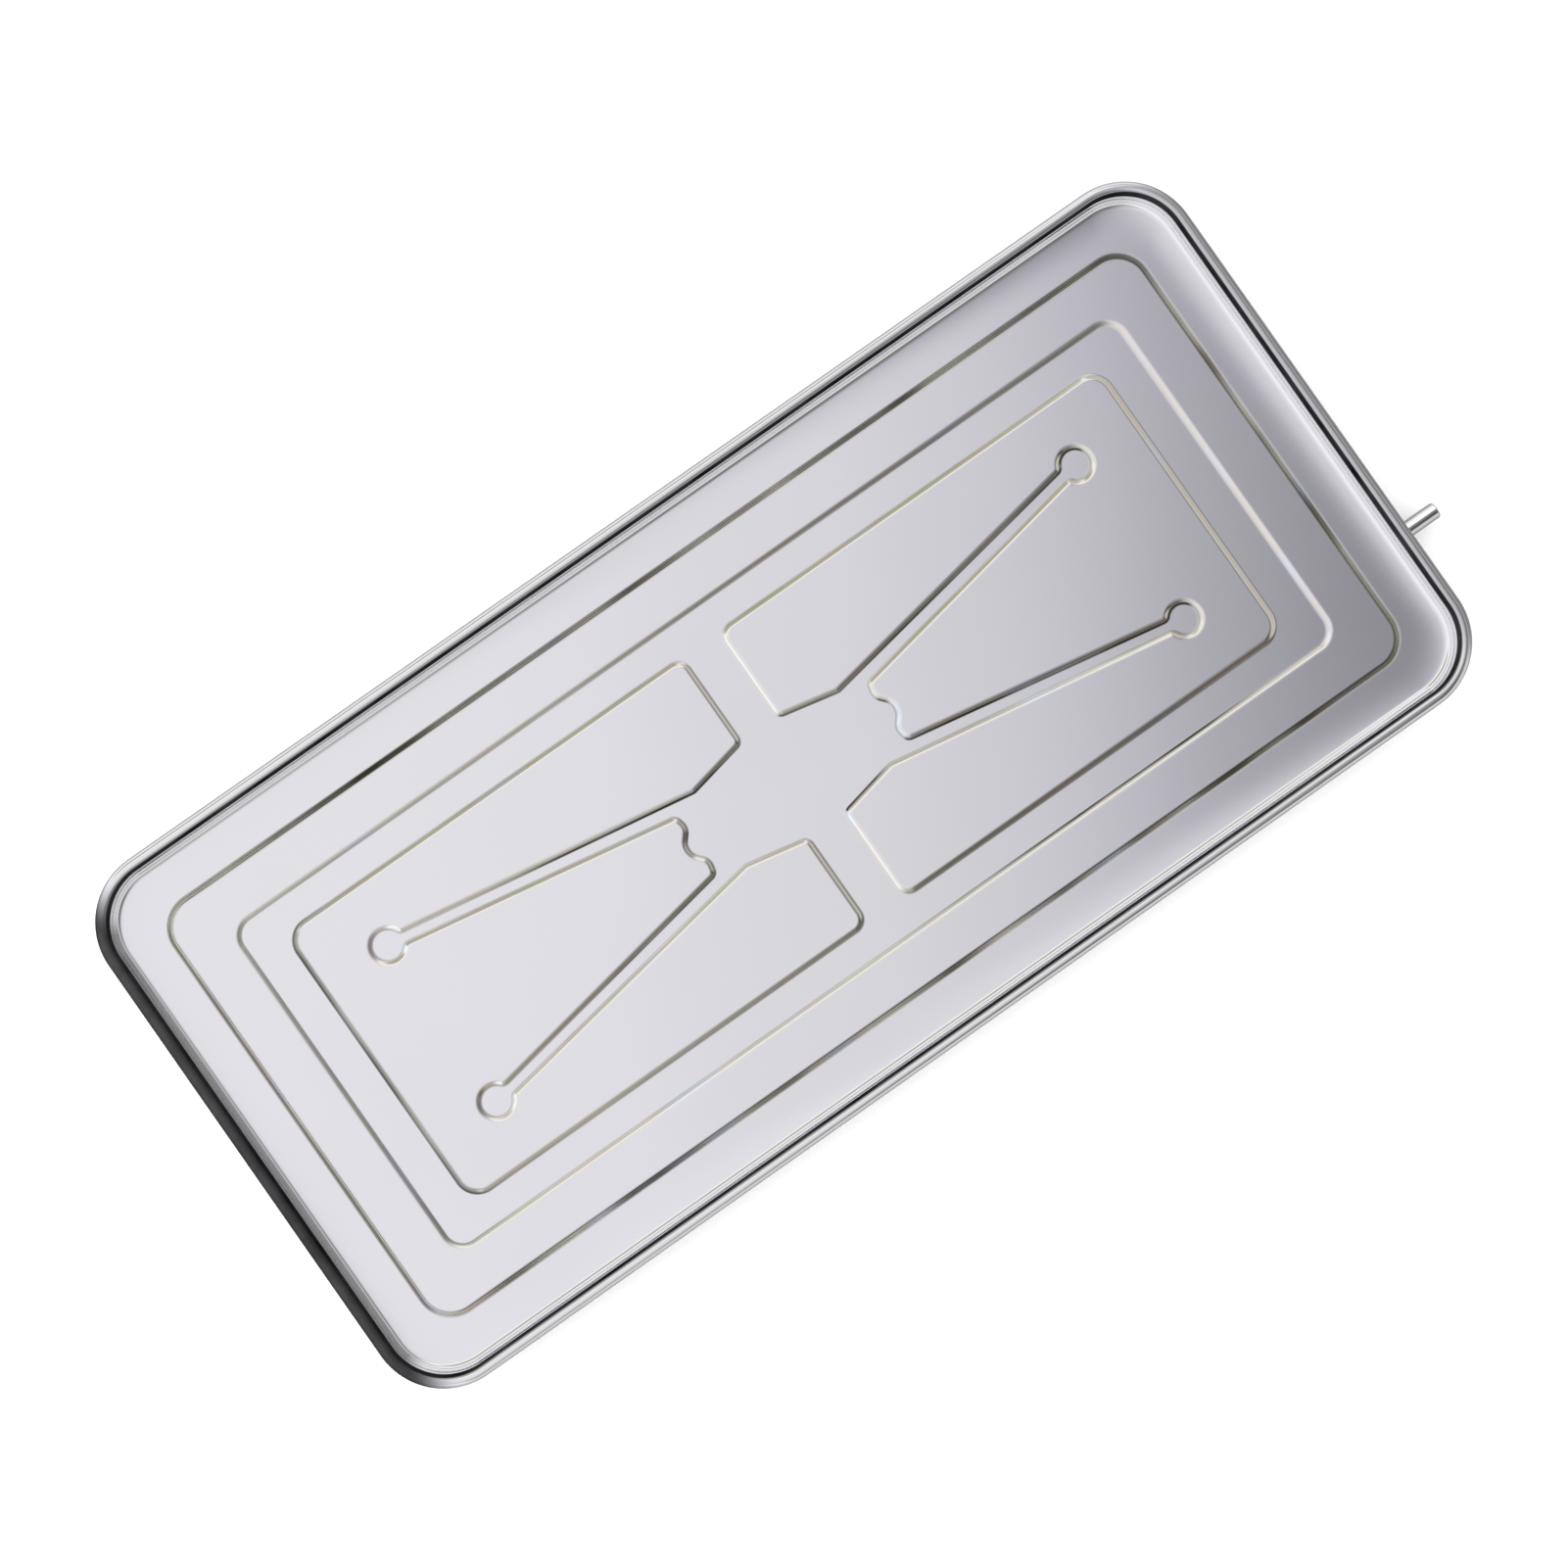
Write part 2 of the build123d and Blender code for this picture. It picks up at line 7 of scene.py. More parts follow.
import bpy
import numpy as np
from mathutils import Matrix, Vector
from mathutils.geometry import delaunay_2d_cdt


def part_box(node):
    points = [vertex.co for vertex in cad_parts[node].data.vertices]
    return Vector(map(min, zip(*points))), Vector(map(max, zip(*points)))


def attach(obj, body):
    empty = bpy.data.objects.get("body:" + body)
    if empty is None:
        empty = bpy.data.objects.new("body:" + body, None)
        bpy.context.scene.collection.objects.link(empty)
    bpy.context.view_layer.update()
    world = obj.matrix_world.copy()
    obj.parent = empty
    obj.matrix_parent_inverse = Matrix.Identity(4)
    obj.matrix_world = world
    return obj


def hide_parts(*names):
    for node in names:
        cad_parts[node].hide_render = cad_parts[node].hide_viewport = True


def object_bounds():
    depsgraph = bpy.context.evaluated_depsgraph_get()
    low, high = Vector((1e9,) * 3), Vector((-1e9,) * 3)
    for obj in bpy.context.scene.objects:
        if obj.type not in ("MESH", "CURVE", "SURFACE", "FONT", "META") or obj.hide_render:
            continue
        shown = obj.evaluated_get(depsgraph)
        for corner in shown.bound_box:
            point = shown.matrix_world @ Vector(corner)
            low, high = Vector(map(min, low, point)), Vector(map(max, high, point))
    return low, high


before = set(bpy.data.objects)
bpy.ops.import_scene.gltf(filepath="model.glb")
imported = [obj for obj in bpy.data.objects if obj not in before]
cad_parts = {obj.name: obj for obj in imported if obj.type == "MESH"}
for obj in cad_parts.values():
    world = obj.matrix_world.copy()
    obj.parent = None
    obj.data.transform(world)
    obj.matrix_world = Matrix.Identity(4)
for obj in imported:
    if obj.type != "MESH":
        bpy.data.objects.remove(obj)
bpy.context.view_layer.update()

MM = 0.001

# ---------------------------------------------------------------------------
# Node helpers
# ---------------------------------------------------------------------------


def grey(value):
    return (value, value, value)


class Graph:
    """An emptied node tree of a material or world, with short calls to fill it."""

    def __init__(self, owner):
        owner.use_nodes = True
        self.tree = owner.node_tree
        self.tree.nodes.clear()

    def node(self, kind, **props):
        node = self.tree.nodes.new(kind)
        for key, value in props.items():
            setattr(node, key, value)
        return node

    def link(self, source, target):
        self.tree.links.new(source, target)

    def put(self, socket, value):
        """Link a socket or set a plain value."""
        if isinstance(value, bpy.types.NodeSocket):
            self.link(value, socket)
        else:
            socket.default_value = value

    def math(self, operation, a, b, clamp=False):
        node = self.node("ShaderNodeMath", operation=operation, use_clamp=clamp)
        self.put(node.inputs[0], a)
        self.put(node.inputs[1], b)
        return node.outputs[0]

    def add(self, a, b):
        return self.math("ADD", a, b)

    def mul(self, a, b, clamp=False):
        return self.math("MULTIPLY", a, b, clamp)

    def separate(self, vector):
        node = self.node("ShaderNodeSeparateXYZ")
        self.link(vector, node.inputs[0])
        return node.outputs

    def coords(self, scale=(1, 1, 1), rot=(0, 0, 0)):
        """Object coordinates through a mapping."""
        source = self.node("ShaderNodeTexCoord")
        mapping = self.node("ShaderNodeMapping")
        mapping.inputs["Scale"].default_value = scale
        mapping.inputs["Rotation"].default_value = rot
        self.link(source.outputs["Object"], mapping.inputs["Vector"])
        return mapping.outputs[0]

    def noise(self, vector, scale, detail, rough, distort=0.0):
        node = self.node("ShaderNodeTexNoise")
        self.link(vector, node.inputs["Vector"])
        node.inputs["Scale"].default_value = scale
        node.inputs["Detail"].default_value = detail
        node.inputs["Roughness"].default_value = rough
        node.inputs["Distortion"].default_value = distort
        return node.outputs["Fac"]

    def remap(self, value, source, to=(0.0, 1.0), kind="LINEAR"):
        """Map the range source onto the range to, clamped."""
        node = self.node("ShaderNodeMapRange", interpolation_type=kind)
        self.link(value, node.inputs["Value"])
        node.inputs["From Min"].default_value = source[0]
        node.inputs["From Max"].default_value = source[1]
        node.inputs["To Min"].default_value = to[0]
        node.inputs["To Max"].default_value = to[1]
        return node.outputs[0]

    def ramp(self, value, stops):
        """Colour ramp; each stop is (position, colour)."""
        node = self.node("ShaderNodeValToRGB")
        self.link(value, node.inputs[0])
        elements = node.color_ramp.elements
        while len(elements) < len(stops):
            elements.new(0.5)
        for element, (position, colour) in zip(elements, stops):
            element.position = position
            element.color = (*colour, 1.0)
        return node.outputs[0]

    def mix(self, fac, a, b, blend="MIX"):
        node = self.node("ShaderNodeMix", data_type="RGBA", blend_type=blend)
        self.put(node.inputs[0], fac)
        for socket, value in ((node.inputs[6], a), (node.inputs[7], b)):
            self.put(socket, (*value, 1.0) if isinstance(value, tuple) else value)
        return node.outputs[2]

    def attr(self, name):
        return self.node("ShaderNodeAttribute", attribute_name=name).outputs["Fac"]

    def bump(self, height, strength, distance, normal=None):
        node = self.node("ShaderNodeBump")
        node.inputs["Strength"].default_value = strength
        node.inputs["Distance"].default_value = distance
        self.link(height, node.inputs["Height"])
        if normal is not None:
            self.link(normal, node.inputs["Normal"])
        return node.outputs[0]


class Surface(Graph):
    """A material with a Principled shader on its output."""

    def __init__(self, name):
        self.mat = bpy.data.materials.new(name)
        super().__init__(self.mat)
        self.out = self.node("ShaderNodeOutputMaterial")
        self.bsdf = self.node("ShaderNodeBsdfPrincipled")
        self.link(self.bsdf.outputs[0], self.out.inputs["Surface"])

    def set(self, **values):
        """Fill Principled inputs; underscores stand for spaces."""
        for key, value in values.items():
            self.put(self.bsdf.inputs[key.replace("_", " ")], value)
        return self.mat


# ---------------------------------------------------------------------------
# Materials
# ---------------------------------------------------------------------------


def polished_pan():
    """Bright polished sheet: cloudy polish, hairlines in two directions, painted shade
    in the crevices and pressed lines, and a faint colour tint in the pressed lines."""
    m = Surface("polished_stainless")
    base = m.coords()
    cloud = m.noise(base, scale=14, detail=3, rough=0.5)
    fine = m.noise(base, scale=90, detail=4, rough=0.6)
    along_coords = m.coords(scale=(18, 900, 900), rot=(0, 0, 0.16))
    along = m.noise(along_coords, scale=1.0, detail=2, rough=0.5)
    across_coords = m.coords(scale=(700, 30, 700), rot=(0, 0, -0.4))
    across = m.noise(across_coords, scale=1.0, detail=2, rough=0.5)
    hair = m.add(m.mul(along, 0.6), m.mul(across, 0.4))
    crevice = m.attr("crevice")
    press = m.attr("press")

    # Metal colour, tinted in the pressed lines.
    tone = m.ramp(cloud, [
        (0.3, (0.885, 0.88, 0.905)),
        (0.5, (0.90, 0.895, 0.92)),
        (0.72, (0.893, 0.893, 0.902)),
    ])
    tint = m.ramp(m.noise(base, scale=46, detail=2, rough=0.5, distort=0.4), [
        (0.36, (0.80, 0.81, 0.63)),
        (0.47, (0.87, 0.85, 0.74)),
        (0.56, (0.90, 0.80, 0.70)),
        (0.66, (0.80, 0.87, 0.95)),
    ])
    colour = m.mix(m.mul(press, 0.7), tone, tint)

    # Painted shade: how much there is, patchy in the pressed lines, and its colour.
    fine_break = m.remap(fine, (0.3, 0.7), to=(0.94, 1.0))
    patch = m.noise(base, scale=32, detail=2, rough=0.5)
    uneven = m.add(1.0, m.mul(press, m.remap(patch, (0.32, 0.68), to=(-0.55, 0.25))))
    dark = m.mul(m.mul(crevice, uneven), fine_break, clamp=True)
    painted_shade_colour = m.mix(press, (0.004, 0.004, 0.0045), (0.022, 0.019, 0.011))

    rough = m.add(
        m.remap(cloud, (0.3, 0.7), to=(0.075, 0.115)),
        m.remap(hair, (0.35, 0.65), to=(-0.012, 0.02)),
    )
    rough = m.add(rough, m.mul(crevice, 0.35))
    wave = m.noise(base, scale=9, detail=1.0, rough=0.4)
    normal = m.bump(wave, strength=0.10, distance=0.0006)
    normal = m.bump(hair, strength=0.05, distance=0.00002, normal=normal)
    m.set(Base_Color=colour, Metallic=1.0, Roughness=rough, Normal=normal)

    # The painted shade is a dark matte layer mixed over the metal.
    matte = m.node("ShaderNodeBsdfDiffuse")
    m.link(painted_shade_colour, matte.inputs["Color"])
    both = m.node("ShaderNodeMixShader")
    m.link(dark, both.inputs[0])
    m.link(m.bsdf.outputs[0], both.inputs[1])
    m.link(matte.outputs[0], both.inputs[2])
    m.link(both.outputs[0], m.out.inputs["Surface"])
    return m.mat


def drawn_steel(name, tone, rough, axis, scale=1.0):
    """Drawn or rolled bright steel with fine lines along one axis."""
    m = Surface(name)
    stretch = tuple((25 if key == axis else 1400) * scale for key in "xyz")
    line = m.noise(m.coords(scale=stretch), scale=1.0, detail=3, rough=0.6)
    cloud = m.noise(m.coords(), scale=60, detail=3, rough=0.5)
    darker = tuple(value * 0.82 for value in tone)
    colour = m.mix(m.remap(line, (0.3, 0.7), to=(0.0, 0.35)), tone, darker)
    colour = m.mix(m.remap(cloud, (0.45, 0.7), to=(0.0, 0.18)), colour, (0.62, 0.60, 0.56))
    roughness = m.add(
        m.remap(line, (0.3, 0.7), to=(rough * 0.75, rough * 1.3)),
        m.remap(cloud, (0.3, 0.7), to=(0, 0.04)),
    )
    normal = m.bump(line, strength=0.12, distance=0.00003)
    return m.set(Base_Color=colour, Metallic=1.0, Roughness=roughness, Normal=normal)


def rubber():
    """Dusty black rubber with a fine grain."""
    m = Surface("foot_rubber")
    grain = m.noise(m.coords(), scale=2600, detail=3, rough=0.6)
    dust = m.noise(m.coords(), scale=180, detail=4, rough=0.6)
    dusty = m.remap(dust, (0.5, 0.75), to=(0.0, 0.5))
    return m.set(
        Base_Color=m.mix(dusty, (0.018, 0.018, 0.019), (0.05, 0.049, 0.047)),
        Roughness=m.remap(grain, (0.3, 0.7), to=(0.62, 0.82)),
        Normal=m.bump(grain, strength=0.35, distance=0.00005),
    )


def acetal():
    """Off-white, slightly translucent plastic with soft flow marks."""
    m = Surface("guide_acetal")
    grain = m.noise(m.coords(), scale=3000, detail=2, rough=0.5)
    flow_coords = m.coords(scale=(1, 0.35, 1))
    flow = m.noise(flow_coords, scale=220, detail=3, rough=0.5, distort=0.6)
    return m.set(
        Base_Color=m.mix(m.remap(flow, (0.35, 0.7)), (0.74, 0.735, 0.70), (0.80, 0.80, 0.78)),
        Roughness=m.remap(grain, (0.3, 0.7), to=(0.34, 0.46)),
        Subsurface_Weight=0.15,
        Subsurface_Radius=(0.0012, 0.0010, 0.0008),
        Normal=m.bump(grain, strength=0.2, distance=0.00003),
    )


def floor_material():
    """Pale floor that reflections see darker than the camera does."""
    m = Surface("studio_floor")
    soft = m.noise(m.coords(), scale=3, detail=3, rough=0.5)
    grain = m.noise(m.coords(), scale=900, detail=2, rough=0.5)
    pale = m.mix(m.remap(soft, (0.3, 0.7)), (0.92, 0.92, 0.922), grey(0.94))
    is_glossy = m.node("ShaderNodeLightPath").outputs["Is Glossy Ray"]
    return m.set(
        Base_Color=m.mix(is_glossy, pale, (0.24, 0.238, 0.235)),
        Roughness=0.6,
        Normal=m.bump(grain, strength=0.04, distance=0.0001),
        Emission_Color=(1.0, 1.0, 1.0, 1.0),
        Emission_Strength=0.09,
    )


# ---------------------------------------------------------------------------
# Sizes of the pan, in millimetres. The deck inside the step line is at z = 0.
# ---------------------------------------------------------------------------
_, pan_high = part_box("tray_pan")
BEAD_R = 1.5  # outer radius of the rolled rim
SHEET = 0.6  # sheet thickness

# Rounded rectangles: half length, half width, corner radius.
RIM_LINE = (pan_high.x / MM, pan_high.y / MM, 17.4)
GROOVE_LINE = (135.9, 57.0, 7.6)
STEP_LINE = (123.8, 45.4, 5.0)
PLATEAU_LINE = (113.8, 37.1, 5.0)
HALF_X = RIM_LINE[0]
BEAD_Z = pan_high.z / MM - BEAD_R
BEAD_LINE = tuple(size - BEAD_R for size in RIM_LINE)  # centre of the bead
WALL_LINE = tuple(size - 2 * BEAD_R for size in RIM_LINE)  # top of the wall

# Heights of the flats, and half widths of the pressed lines beside them.
LEDGE_Z, BORDER_Z, PLATEAU_Z = 0.5, 1.0, 0.5
GROOVE_HALF, STEP_HALF, PLATEAU_HALF = 1.0, 0.85, 0.90
STEP_FLAT, GROOVE_FLAT_IN, GROOVE_FLAT_OUT, PLATEAU_FLAT = 0.35, 0.4, 0.25, 0.14
GROOVE_DEPTH = 0.42

# The border curves up to the wall through a fillet.
BORDER_POWER = 3.1
BORDER_ANGLE = math.atan(0.19)  # slope where the fillet starts
WALL_ANGLE = math.radians(88.0)
WALL_FILLET = 2.4
BORDER_TRIM = 0.16  # taken off the run that sets the border's rise
BEAD_START, BEAD_END = 180.0, -120.0  # degrees round the bead's centre

# Upper half of the +X plateau: corners on each side of the cross's sloping arm.
GAP_X = 5.45
CHAMFER_IN, CHAMFER_OUT = (GAP_X, 13.7), (20.3, 10.6)
TONGUE, LOBE, NOTCH = (27.2, 7.75), (26.5, 4.6), (30.4, 0.0)
SLOPE_OUT, SLOPE_IN = 0.170, 0.180
ARM_END, ARM_R, NECK_R = (96.6, 21.8), 4.1, 1.5
CENTRE_SHIFT = 2.1  # the cross sits this far towards +X

# Segment counts.
CORNER_STEPS, LONG_STEPS, SHORT_STEPS = 40, 24, 12
STEP_STEPS, GROOVE_STEPS = 12, 20
BORDER_STEPS, FILLET_STEPS, WALL_STEPS, BEAD_STEPS = 26, 22, 12, 44


def smooth(t):
    t = min(max(t, 0.0), 1.0)
    return t * t * (3 - 2 * t)


def ease_in(value, start, span):
    """0 up to start, then eased to 1 over span."""
    return smooth((value - start) / span)


def ease_out(value, end, span):
    """Eased from 1 to 0 over span, 0 from end on."""
    return smooth((end - value) / span)


# ---------------------------------------------------------------------------
# Section of the pan, from the deck over the rim and back underneath
# ---------------------------------------------------------------------------


def rounded_ring(half_x, half_y, radius):
    """Points of a rounded rectangle, anticlockwise, always the same number."""
    radius = max(radius, 0.05)
    x, y = half_x - radius, half_y - radius
    # Side start, side end, steps, centre of the corner that follows.
    quarters = [
        ((half_x, -y), (half_x, y), SHORT_STEPS, (x, y)),
        ((x, half_y), (-x, half_y), LONG_STEPS, (-x, y)),
        ((-half_x, y), (-half_x, -y), SHORT_STEPS, (-x, -y)),
        ((-x, -half_y), (x, -half_y), LONG_STEPS, (x, -y)),
    ]
    points = []
    for quarter, (start, end, steps, centre) in enumerate(quarters):
        for k in range(steps):
            t = k / steps
            points.append(tuple(a + (b - a) * t for a, b in zip(start, end)))
        for k in range(CORNER_STEPS):
            angle = math.radians(90 * quarter + 90.0 * k / CORNER_STEPS)
            points.append((
                centre[0] + radius * math.cos(angle),
                centre[1] + radius * math.sin(angle),
            ))
    return points


def section(outline, offset, z, crevice=0.0, press=0.0):
    """Half length, half width, corner radius, height, painted shade, press."""
    length, width, radius = outline[:3]
    return (length + offset, width + offset, radius + offset, z, crevice, press)


def step_shades(t):
    """Painted shade at the foot of a step and press across it, t from foot to top."""
    return 0.42 * ease_in(t, 0, 0.16) * ease_out(t, 0.55, 0.3), 4 * t * (1 - t)


def pressed_sections():
    """Step and groove lines. Each entry: section, extra height of its underside."""
    rows = [(section(STEP_LINE, -STEP_HALF - STEP_FLAT, 0.0), 0.0)]
    for k in range(STEP_STEPS + 1):
        t = k / STEP_STEPS
        offset = -STEP_HALF + 2 * STEP_HALF * t
        rows.append((section(STEP_LINE, offset, LEDGE_Z * smooth(t), *step_shades(t)), 0.0))
    rows.append((section(STEP_LINE, STEP_HALF + STEP_FLAT, LEDGE_Z), 0.0))

    rows.append((section(GROOVE_LINE, -GROOVE_HALF - GROOVE_FLAT_IN, LEDGE_Z), 0.0))
    for k in range(GROOVE_STEPS + 1):
        t = k / GROOVE_STEPS
        ends = ease_in(t, 0, 0.1) * ease_out(t, 1, 0.1)
        groove = GROOVE_DEPTH * math.exp(-(((t - 0.46) / 0.19) ** 2)) * ends
        z = LEDGE_Z + (BORDER_Z - LEDGE_Z) * smooth(t) - groove
        # The press mask also sets the painted shade along the groove.
        press = ease_in(t, 0, 0.34) * ease_out(t, 1, 0.28)
        offset = -GROOVE_HALF + 2 * GROOVE_HALF * t
        # Half of the groove's depth does not show on the underside.
        rows.append((section(GROOVE_LINE, offset, z, 0.80 * press, press), 0.5 * groove))
    rows.append((section(GROOVE_LINE, GROOVE_HALF + GROOVE_FLAT_OUT, BORDER_Z), 0.0))
    return rows


def border_curve():
    """Border, fillet and wall. Each entry: blend from the groove line to the wall,
    extra offset, height, slope angle."""
    fillet_x = WALL_FILLET * (math.sin(WALL_ANGLE) - math.sin(BORDER_ANGLE))
    fillet_z = WALL_FILLET * (math.cos(BORDER_ANGLE) - math.cos(WALL_ANGLE))
    start = tuple(size + GROOVE_HALF + GROOVE_FLAT_OUT for size in GROOVE_LINE)
    run = WALL_LINE[0] - fillet_x - BORDER_TRIM - start[0]
    rise = math.tan(BORDER_ANGLE) * run / BORDER_POWER
    lean = (BEAD_Z - BORDER_Z - rise - fillet_z) / math.tan(WALL_ANGLE)
    end = tuple(size - fillet_x - lean for size in WALL_LINE)

    curve = []
    for k in range(1, BORDER_STEPS + 1):
        t = k / BORDER_STEPS
        slope = math.atan(rise * BORDER_POWER * t ** (BORDER_POWER - 1) / run)
        curve.append((t, 0.0, BORDER_Z + rise * t**BORDER_POWER, slope))
    for k in range(1, FILLET_STEPS + 1):
        angle = BORDER_ANGLE + (WALL_ANGLE - BORDER_ANGLE) * k / FILLET_STEPS
        offset = WALL_FILLET * (math.sin(angle) - math.sin(BORDER_ANGLE))
        z = BORDER_Z + rise + WALL_FILLET * (math.cos(BORDER_ANGLE) - math.cos(angle))
        curve.append((1.0, offset, z, angle))
    wall_foot = curve[-1][2]
    for k in range(1, WALL_STEPS + 1):
        z = wall_foot + (BEAD_Z - wall_foot) * k / WALL_STEPS
        slope = WALL_ANGLE if k < WALL_STEPS else math.pi / 2
        curve.append((1.0, fillet_x + lean * k / WALL_STEPS, z, slope))
    return start, end, curve


def border_sections():
    """Top and underside of the border, fillet and wall."""
    start, end, curve = border_curve()
    top, under = [], []
    for blend, offset, z, slope in curve:
        outline = tuple(s + (e - s) * blend for s, e in zip(start, end))
        # Painted shade at the top of the wall, under the bead.
        crevice = ease_in(z, BEAD_Z - 2.5, 1.2) if blend == 1.0 else 0.0
        top.append(section(outline, offset, z, crevice))
        under.append(section(top[-1], SHEET * math.sin(slope), z - SHEET * math.cos(slope)))
    return top, under


def bead_section(radius, degrees, crevice):
    angle = math.radians(degrees)
    z = BEAD_Z + radius * math.sin(angle)
    return section(BEAD_LINE, radius * math.cos(angle), z, crevice)


def bead_sections():
    """Outer surface of the rolled bead, then its inner surface back to the wall."""
    rows = []
    for k in range(1, BEAD_STEPS + 1):
        degrees = BEAD_START + (BEAD_END - BEAD_START) * k / BEAD_STEPS
        # Painted shade on the bead's inner flank by the wall, and a little on its underside.
        crevice = ease_in(degrees, 116, 22) + 0.25 * ease_out(degrees, -25, 40)
        rows.append(bead_section(BEAD_R, degrees, crevice))
    # Painted shade over the whole inside of the bead.
    for k in range(BEAD_STEPS):
        degrees = BEAD_END + (BEAD_START - BEAD_END) * k / BEAD_STEPS
        rows.append(bead_section(BEAD_R - SHEET, degrees, 0.3))
    return rows


def pan_profile():
    pressed = pressed_sections()
    border_top, border_under = border_sections()
    pressed_under = [section(row, 0.0, row[3] - SHEET + extra) for row, extra in pressed]
    return (
        [row for row, _ in pressed] + border_top + bead_sections()
        + border_under[::-1] + pressed_under[::-1]
    )


# ---------------------------------------------------------------------------
# Outline of the +X plateau. An arc is (centre, radius, start angle, end angle,
# sign), with sign +1 where the centre is on the plateau's side.
# ---------------------------------------------------------------------------


def unit(x, y):
    length = math.hypot(x, y)
    return (x / length, y / length)


def bearing(origin, target):
    return math.atan2(target[1] - origin[1], target[0] - origin[0])


def outer_edge(x):
    """Edge of the upper arm on the side away from the X axis."""
    return CHAMFER_OUT[1] + SLOPE_OUT * (x - CHAMFER_OUT[0])


def inner_edge(x):
    """Edge of the upper arm on the side towards the X axis."""
    return TONGUE[1] + SLOPE_IN * (x - TONGUE[0])


def fillet(before, corner, after, radius):
    """Arc that rounds a corner between two straight runs."""
    d0 = unit(corner[0] - before[0], corner[1] - before[1])
    d1 = unit(after[0] - corner[0], after[1] - corner[1])
    side = 1 if d0[0] * d1[1] - d0[1] * d1[0] > 0 else -1  # +1 turns left
    turn = math.acos(max(-1, min(1, d0[0] * d1[0] + d0[1] * d1[1])))
    setback = radius * math.tan(turn / 2)
    inward = (-d0[1] * side, d0[0] * side)
    centre = tuple(c - d * setback + n * radius for c, d, n in zip(corner, d0, inward))
    start = math.atan2(-inward[1], -inward[0])
    return (centre, radius, start, start + side * turn, -side)


def neck_arc(edge, slope, side, leaving):
    """Arc that touches an arm's edge and its round end from outside. It lies above
    the edge for side +1; leaving is True if it runs from the round end to the edge."""
    k = math.hypot(1, slope)
    near, far = ARM_END[0] - ARM_R - 6, ARM_END[0]
    for _ in range(60):
        x = (near + far) / 2
        centre = (x - side * slope * NECK_R / k, edge(x) + side * NECK_R / k)
        apart = math.hypot(centre[0] - ARM_END[0], centre[1] - ARM_END[1])
        if apart - (ARM_R + NECK_R) > 0:
            near = x
        else:
            far = x
    start, end = bearing(centre, (x, edge(x))), bearing(centre, ARM_END)
    if leaving:
        start, end = end, start
    while end - start > math.pi:
        end -= 2 * math.pi
    while end - start < -math.pi:
        end += 2 * math.pi
    return (centre, NECK_R, start, end, 1)


def arm_end_arcs(upper):
    """Neck, round end and neck of one arm."""
    neck_in = neck_arc(inner_edge, SLOPE_IN, side=-1, leaving=False)
    neck_out = neck_arc(outer_edge, SLOPE_OUT, side=1, leaving=True)
    start, end = bearing(ARM_END, neck_in[0]), bearing(ARM_END, neck_out[0])
    while end < start:
        end += 2 * math.pi
    arcs = [neck_in, (ARM_END, ARM_R, start, end, -1), neck_out]
    if upper:
        return arcs
    return [((x, -y), r, -a1, -a0, sign) for (x, y), r, a0, a1, sign in reversed(arcs)]


def plateau_arcs():
    """All arcs of the outline, clockwise from the notch."""
    aim_x = ARM_END[0] - ARM_R
    # Corner, radius. The two without a radius only aim the edges at the arm's end.
    upper = [
        (NOTCH, 4.0),
        (LOBE, 2.6),
        (TONGUE, 1.6),
        ((aim_x, inner_edge(aim_x)), None),
        ((aim_x, outer_edge(aim_x)), None),
        (CHAMFER_OUT, 2.0),
        (CHAMFER_IN, 1.6),
        ((GAP_X, PLATEAU_LINE[1]), 3.0),
        (PLATEAU_LINE[:2], PLATEAU_LINE[2]),
    ]
    corners = upper + [((x, -y), radius) for (x, y), radius in reversed(upper[1:])]
    arcs = []
    for i, (corner, radius) in enumerate(corners):
        before, radius_before = corners[i - 1]
        after = corners[(i + 1) % len(corners)][0]
        if radius is not None:
            arcs.append(fillet(before, corner, after, radius))
        elif radius_before is not None:
            arcs += arm_end_arcs(upper=corner[1] > 0)
    return arcs


def plateau_path():
    """Points of the outline, anticlockwise, and their outward normals."""
    samples = []
    for centre, radius, start, end, sign in plateau_arcs():
        steps = max(8, int(abs(end - start) / math.radians(4)))
        for k in range(steps + 1):
            angle = start + (end - start) * k / steps
            c, s = math.cos(angle), math.sin(angle)
            point = (centre[0] + radius * c, centre[1] + radius * s)
            samples.append((point, (sign * c, sign * s)))
    samples.reverse()

    points, normals = [], []
    for i, (p, n) in enumerate(samples):
        q, m = samples[(i + 1) % len(samples)]
        gap = math.hypot(p[0] - q[0], p[1] - q[1])
        if gap < 1e-4:
            continue
        points.append(p)
        normals.append(n)
        # Straight runs get samples in between, at most 6 mm apart.
        extra = int(gap / 6.0)
        for j in range(1, extra + 1):
            t = j / (extra + 1)
            points.append((p[0] + (q[0] - p[0]) * t, p[1] + (q[1] - p[1]) * t))
            normals.append(unit(n[0] + (m[0] - n[0]) * t, n[1] + (m[1] - n[1]) * t))
    return points, normals


# ---------------------------------------------------------------------------
# Mesh building
# ---------------------------------------------------------------------------


def inside(polygon, x, y):
    """Point-in-polygon test for arrays of points."""
    polygon = np.asarray(polygon)
    result = np.zeros(len(x), bool)
    x0, y0 = polygon[:, 0], polygon[:, 1]
    x1, y1 = np.roll(x0, -1), np.roll(y0, -1)
    for xa, ya, xb, yb in zip(x0, y0, x1, y1):
        if ya == yb:
            continue
        crosses = (ya > y) != (yb > y)
        result ^= crosses & (x < (xb - xa) * (y - ya) / (yb - ya) + xa)
    return result


